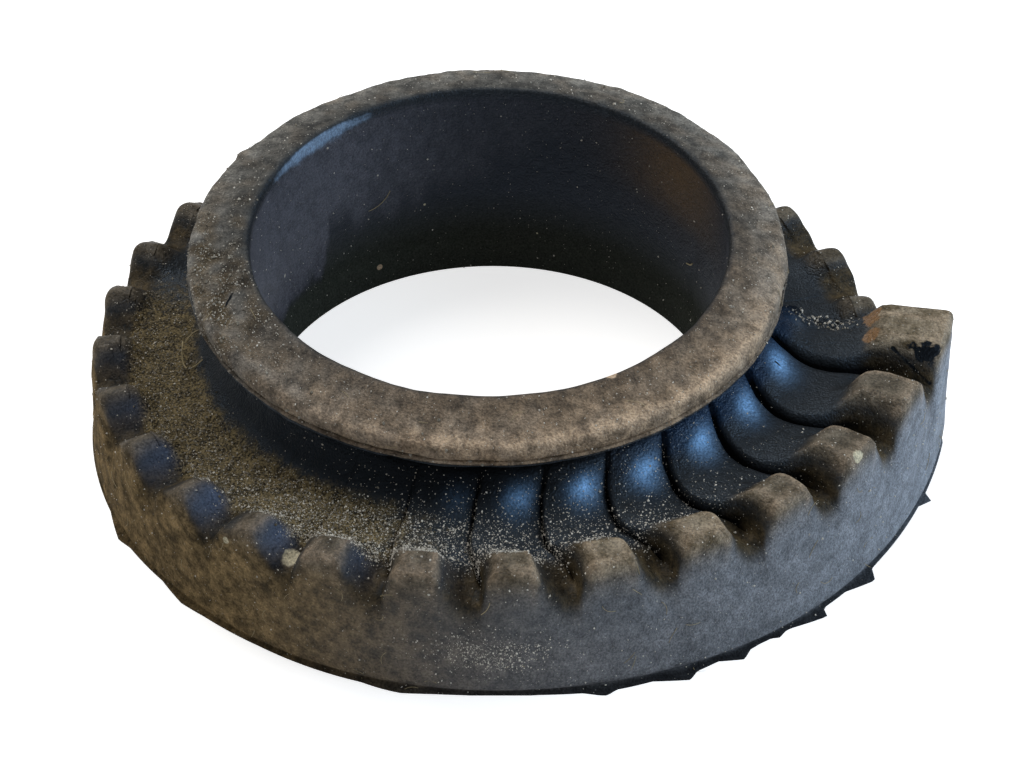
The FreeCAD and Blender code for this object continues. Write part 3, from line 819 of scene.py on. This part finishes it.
def rubberPaint():
    # every tone laid over the last by its mask, roughened by three sizes of noise
    t = rubberTones
    grain = rubberGrain
    p = Paint("wornRubber")
    coarse = p.noise(grain["coarse"], 2.0)
    middle = p.noise(grain["middle"], 3.0, 0.65)
    fine = p.noise(grain["fine"], 1.0, 0.65)
    wobble = (middle - 0.5) * 0.9
    mottle = p.step(middle * 0.6 + p.noise(grain["mottle"], 3.0, 0.7) * 0.5, 0.36, 0.76)
    skirt = p.blend(p.mask("lowSkirt"), t["skirt"], t["skirtLow"])
    # painted bluish-grey sheen on the right of the skirt
    skirt = p.tint(p.blend(p.mask("bloom"), skirt, t["skirtSheenBlue"]), 0.45 + 0.6 * coarse + 0.5 * mottle)
    colour = p.blend(p.mask("skirt"), t["plain"], skirt)
    colour = p.blend(p.mask("brown"), colour, p.blend(mottle, t["brownDark"], t["skirtBrown"]))
    flange = p.blend(p.mask("warm"), t["flange"], t["flangeWarm"])
    flange = p.blend(p.mask("leftFlange"), flange, t["brownDark"])
    flange = p.tint(flange, (0.35 + 0.9 * mottle + 0.4 * coarse) * (0.62 + 0.6 * p.mask("rimEdge")))
    colour = p.blend(p.mask("flange"), colour, flange)
    tanShare = p.step(p.mask("tan") + wobble * 0.8, 0.15, 1.05) * (0.3 + 0.7 * mottle)
    colour = p.blend(tanShare, colour, t["tan"])
    top = p.blend(mottle, t["valley"], t["top"])
    colour = p.blend(p.mask("tops") * p.mask("bright"), colour, top)
    colour = p.blend(p.mask("worn") * (0.05 + 0.3 * mottle), colour, t["tan"])
    colour = p.blend(p.mask("valley") * 0.9, colour, p.blend(mottle, t["dustDark"], t["valley"]))
    dustShare = p.step(p.mask("dust") + wobble * 0.8, 0.25, 0.85)
    dust = p.blend(p.step(fine + 0.25 * mottle, 0.38, 0.82), t["dustDark"], t["dust"])
    colour = p.blend(dustShare, colour, dust)
    # painted bluish sheen on the flanks of the left teeth
    colour = p.blend(p.mask("leftBlue"), colour, t["leftBlue"])
    # painted bluish shade under the lip on the right
    colour = p.blend(p.mask("deepBlue"), colour, t["deepBlue"])
    bore = p.blend((p.mask("haze") + wobble * 0.2) * (0.75 + 0.5 * mottle), t["bore"], t["boreHaze"])
    bore = p.blend(p.mask("low") * (1 - p.mask("haze")), bore, t["boreLow"])
    bore = p.blend(p.mask("rust"), bore, t["boreBrown"])
    colour = p.blend(p.mask("inner"), colour, bore)
    # painted bluish highlight on the bore's top edge
    colour = p.blend(p.step(p.mask("lipBlue") + wobble * 0.5, 0.45, 0.8), colour, t["lipHighlightBlue"])
    # painted shade, near-black, in the cove, the slits, the foot band and the lip's groove
    colour = p.blend(p.mask("soot"), colour, t["soot"])
    # painted bluish highlight on the fingers
    colour = p.blend(p.mask("blue") * (0.5 + 0.9 * middle), colour, t["blue"])
    for spot, size, tone in rubberSpots:
        ragged = wobble * (1.0 if size < 2.0 else 2.6)
        colour = p.blend(p.near(spot, size, ragged), colour, t[tone])
    # cracks as lines in the same near-black as the painted shade
    for start, end, width in rubberCracks:
        colour = p.blend(p.crack(start, end, width, wobble), colour, t["soot"])
    # worn speckle: the colour times a grey of the fine and middle noise
    colour = p.tint(colour, 1.7 * fine + 0.5 * middle - 0.1)
    share = p.mask("grit") * (0.35 + 1.3 * middle)
    colour = p.blend(p.specks(grain["speck"], share * 0.6), colour, t["grit"])
    height = 0.8 * fine + 1.2 * middle
    bumps = {"Strength": grain["bumpStrength"], "Distance": grain["bumpDepth"]}
    normal = p.add("Bump", {}, {**bumps, "Height": height})
    uneven = (0.30 + 0.3 * middle + 0.3 * p.mask("skirt") + 0.25 * p.mask("flange")).clamped()
    glossy = p.add("BsdfPrincipled", {}, {
        "Base Color": colour, "Roughness": uneven, "Normal": normal,
        "Specular IOR Level": grain["gloss"], "Specular Tint": grain["glossTint"]})
    matt = p.add("BsdfPrincipled", {}, {
        "Base Color": colour, "Roughness": 0.9, "Normal": normal, "Specular IOR Level": grain["mattGloss"]})
    # matt where the painted shade lies, so that it shows no reflection, and over the bore, dust, valleys,
    # tops, flange, the bore's lower part and the brown skirt
    dull = (p.mask("soot") + p.mask("inner") * 0.5 + dustShare * 0.9 + p.mask("valley") * 0.7
            + p.mask("tops") * 0.6 + p.mask("flange") * 0.6 + p.mask("low") * 0.6
            + p.mask("brown")).clamped()
    return p.shade(p.add("MixShader", {}, {0: dull, 1: glossy, 2: matt}))


def dirtPaint():
    # from caked olive dust to pale sand, by the paleness of each grain
    p = Paint("looseSand")
    colour = p.blend(p.mask("pale"), dirtTones["caked"], dirtTones["pale"])
    colour = p.tint(colour, 0.5 + p.noise(dirtTones["blotch"]))
    return p.shade(p.add("BsdfPrincipled", {}, {"Base Color": colour, "Roughness": dirtTones["roughness"]}))


def strawPaint():
    # dark to light straw by one noise
    p = Paint("paleStraw")
    colour = p.blend(p.noise(straws["blotch"]), straws["dark"], straws["light"])
    return p.shade(p.add("BsdfPrincipled", {}, {"Base Color": colour, "Roughness": straws["roughness"]}))


# camera, light and floor

stand = {
    "target": (4.08, 0.0, 4.25), "distance": 417.02, "elevation": 39.74, "lens": 76.33, "sensor": 36.0,
    "floorSize": 6000.0, "floorGlow": 0.68, "floorColour": 0.86,
    "lampTarget": (0.0, 0.0, 15.0), "skyColour": (0.96, 0.98, 1.0, 1), "skyGlow": 0.17,
}
lamps = {
    # name: azimuth, elevation, distance and width in millimetres, power in watts, colour
    "windowRight": (-8.0, 30.0, 700.0, 420.0, 2.8, (0.72, 0.86, 1.0)),
    "overLeft": (128.0, 58.0, 900.0, 500.0, 4.6, (1.0, 0.97, 0.93)),
    "frontFill": (-110.0, 40.0, 1100.0, 700.0, 1.0, (1.0, 0.98, 0.96)),
}


def direction(azimuth, elevation):
    # unit vector: cos a cos e, sin a cos e, sin e
    a, e = math.radians(azimuth), math.radians(elevation)
    return np.array([math.cos(a) * math.cos(e), math.sin(a) * math.cos(e), math.sin(e)])


def aim(thing, position, target):
    # put at a place in millimetres and turned so that its own -Z looks at the target
    thing.location = Vector(position) * mm
    thing.rotation_mode = "QUATERNION"
    thing.rotation_quaternion = (Vector(target) - Vector(position)).to_track_quat("-Z", "Y")


def makeCamera():
    lens = bpy.data.cameras.new("photoCamera")
    lens.lens = stand["lens"]
    lens.sensor_width = stand["sensor"]
    camera = bpy.data.objects.new("photoCamera", lens)
    bpy.context.scene.collection.objects.link(camera)
    target = np.array(stand["target"])
    aim(camera, target + stand["distance"] * direction(-90.0, stand["elevation"]), target)
    bpy.context.scene.camera = camera


def makeLamps():
    for name, (azimuth, elevation, distance, width, power, colour) in lamps.items():
        light = bpy.data.lights.new(name, "AREA")
        light.size = width * mm
        light.energy = power
        light.color = colour
        lamp = bpy.data.objects.new(name, light)
        bpy.context.scene.collection.objects.link(lamp)
        aim(lamp, distance * direction(azimuth, elevation), stand["lampTarget"])


def makeWorld():
    world = bpy.data.worlds.new("studio")
    bpy.context.scene.world = world
    world.use_nodes = True
    sky = world.node_tree.nodes["Background"]
    sky.inputs["Color"].default_value = stand["skyColour"]
    sky.inputs["Strength"].default_value = stand["skyGlow"]


def makeFloor():
    half = stand["floorSize"] / 2
    corners = [(-half, -half, 0), (half, -half, 0), (half, half, 0), (-half, half, 0)]
    floor = newPiece("floor", corners, [(0, 1, 2, 3)])
    p = Paint("paleFloor")
    tone = stand["floorColour"]
    matt = p.add("BsdfDiffuse", {}, {"Color": (tone, tone, tone, 1)})
    seen = p.add("LightPath", output="Is Camera Ray") + p.add("LightPath", output="Is Glossy Ray")
    glow = p.add("Emission", {}, {"Color": (1, 1, 1, 1), "Strength": seen.clamped() * stand["floorGlow"]})
    floor.data.materials.append(p.shade(p.add("AddShader", {}, {0: matt, 1: glow})))


makeCamera()
makeLamps()
makeWorld()
makeFloor()
print("camera, lamps and floor stand")
points, turned, zone, outward = mouldGrid()
masks = mouldMasks(points, turned, zone)
mouldedRubber = makeMould(points, masks)
mouldedRubber.data.materials.append(rubberPaint())
print("moulding: %d faces" % len(mouldedRubber.data.polygons))
looseSand = makeDirt(points, outward, masks)
looseSand.data.materials.append(dirtPaint())
print("loose sand: %d faces" % len(looseSand.data.polygons))
strawsAndHairs = makeStraws(points, outward, masks)
strawsAndHairs.data.materials.append(strawPaint())
print("straws and hairs: %d faces" % len(strawsAndHairs.data.polygons))
bpy.context.scene.view_settings.view_transform = "Standard"

bpy.context.view_layer.update()
